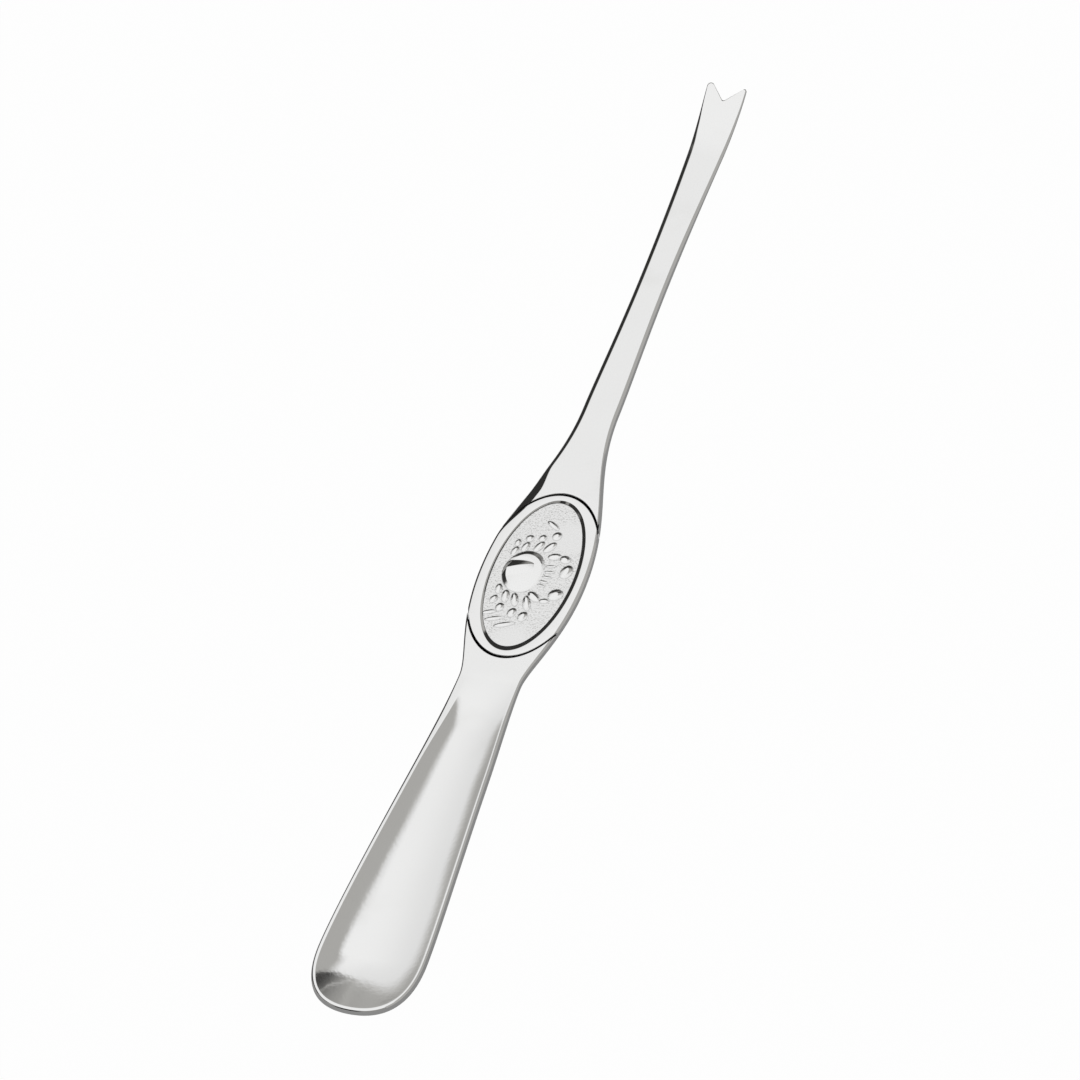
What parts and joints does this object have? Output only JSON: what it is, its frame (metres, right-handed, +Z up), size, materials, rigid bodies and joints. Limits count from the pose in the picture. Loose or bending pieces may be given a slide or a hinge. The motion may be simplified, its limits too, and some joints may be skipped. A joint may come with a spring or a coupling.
{
  "type": "lobster fork",
  "caption": "Lobster fork of polished steel: a small forked tip, a slim shank, an oval boss inlaid with a crab medallion in a flush ring, and a long shallow scoop at the other end.",
  "frame": {"origin": "on the surface that the fork rests on, under the middle of its length and width", "axes": "+Y along the fork towards its forked tip, +Z up out of the face that carries the medallion, +X to the side that the crab looks to"},
  "size_m": [0.0176, 0.1916, 0.0051],
  "materials": {
    "polished_steel": "polished",
    "struck_steel": "struck relief on a stippled field"
  },
  "bodies": {
    "root": {"fork_body": "polished_steel", "medallion_bezel": "polished_steel", "crab_medallion": "struck_steel"}
  },
  "joints": []
}
